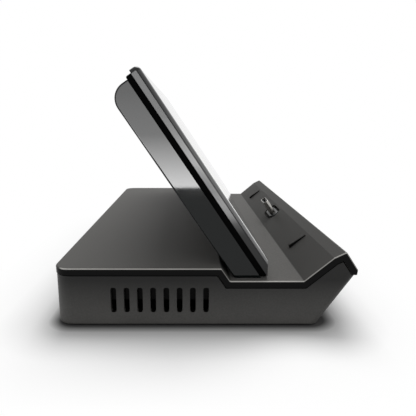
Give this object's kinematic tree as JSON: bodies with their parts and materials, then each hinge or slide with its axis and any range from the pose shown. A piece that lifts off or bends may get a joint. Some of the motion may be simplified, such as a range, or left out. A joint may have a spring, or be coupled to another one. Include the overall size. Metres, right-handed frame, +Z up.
{
  "type": "handheld console dock",
  "caption": "Low dock for a handheld console: vented box, ramped cradle with a sprung plug, and a tall back support that leans back.",
  "frame": {"origin": "centre of the footprint, on the surface that the feet rest on", "axes": "+X to the right as the user faces the dock, -Y towards the user, +Z up"},
  "size_m": [0.15, 0.0888, 0.0742],
  "materials": {
    "cover_plastic": "fine spark-eroded satin, warm dark grey",
    "case_plastic": "fine matt texture, dark grey",
    "gloss_shell": "polished black",
    "core_plastic": "matt black",
    "gloss_plate": "polished black, soft sheen at the edge",
    "plug_metal": "bright nickel",
    "dark_plastic": "matt black",
    "neck_plastic": "matt black",
    "board": "green solder mask",
    "soft_seal": "matt silicone",
    "steel": "stamped steel",
    "screw_steel": "black zinc",
    "ribbon_film": "film cable",
    "can_metal": "tinned sheet",
    "pad_rubber": "soft gap filler",
    "chip_resin": "moulded resin",
    "foot_rubber": "matt rubber",
    "socket_metal": "nickel plated sheet"
  },
  "bodies": {
    "base": {"top_cover": "cover_plastic", "bottom_case": "case_plastic", "support_rear_shell": "gloss_shell", "support_core": "core_plastic", "support_front_plate": "gloss_plate", "plug_gasket": "soft_seal", "pivot_pin": "steel", "pivot_bracket_left": "steel", "pivot_bracket_right": "steel", "bracket_screws": "screw_steel", "ribbon": "ribbon_film", "ribbon_socket": "dark_plastic", "main_board": "board", "shield_can": "can_metal", "thermal_pad": "pad_rubber", "video_chip": "chip_resin", "hub_chip": "chip_resin", "power_chip": "chip_resin", "power_inductors": "chip_resin", "capacitors": "can_metal", "foot_rear_left": "foot_rubber", "foot_rear_right": "foot_rubber", "foot_front_left": "foot_rubber", "foot_front_right": "foot_rubber", "power_socket_shell": "socket_metal", "power_socket_insulator": "dark_plastic", "hdmi_socket_shell": "socket_metal", "hdmi_socket_insulator": "dark_plastic", "usb_inner_socket_shell": "socket_metal", "usb_inner_socket_insulator": "dark_plastic", "usb_outer_socket_shell": "socket_metal", "usb_outer_socket_insulator": "dark_plastic", "case_screws": "screw_steel", "support_screws": "screw_steel", "board_screws": "screw_steel"},
    "plug": {"plug_shell": "plug_metal", "plug_insert": "dark_plastic", "plug_carrier": "neck_plastic", "plug_board": "board"}
  },
  "joints": [
    {"name": "plug_rock", "type": "hinge", "parent": "base", "child": "plug", "pos_m": [0, -0.03677, 0.01452], "axis": [1, 0, 0], "range_deg": [-6, 6], "stiffness_Nm_per_rad": 0.05, "deforming": ["plug_gasket", "ribbon"]}
  ]
}
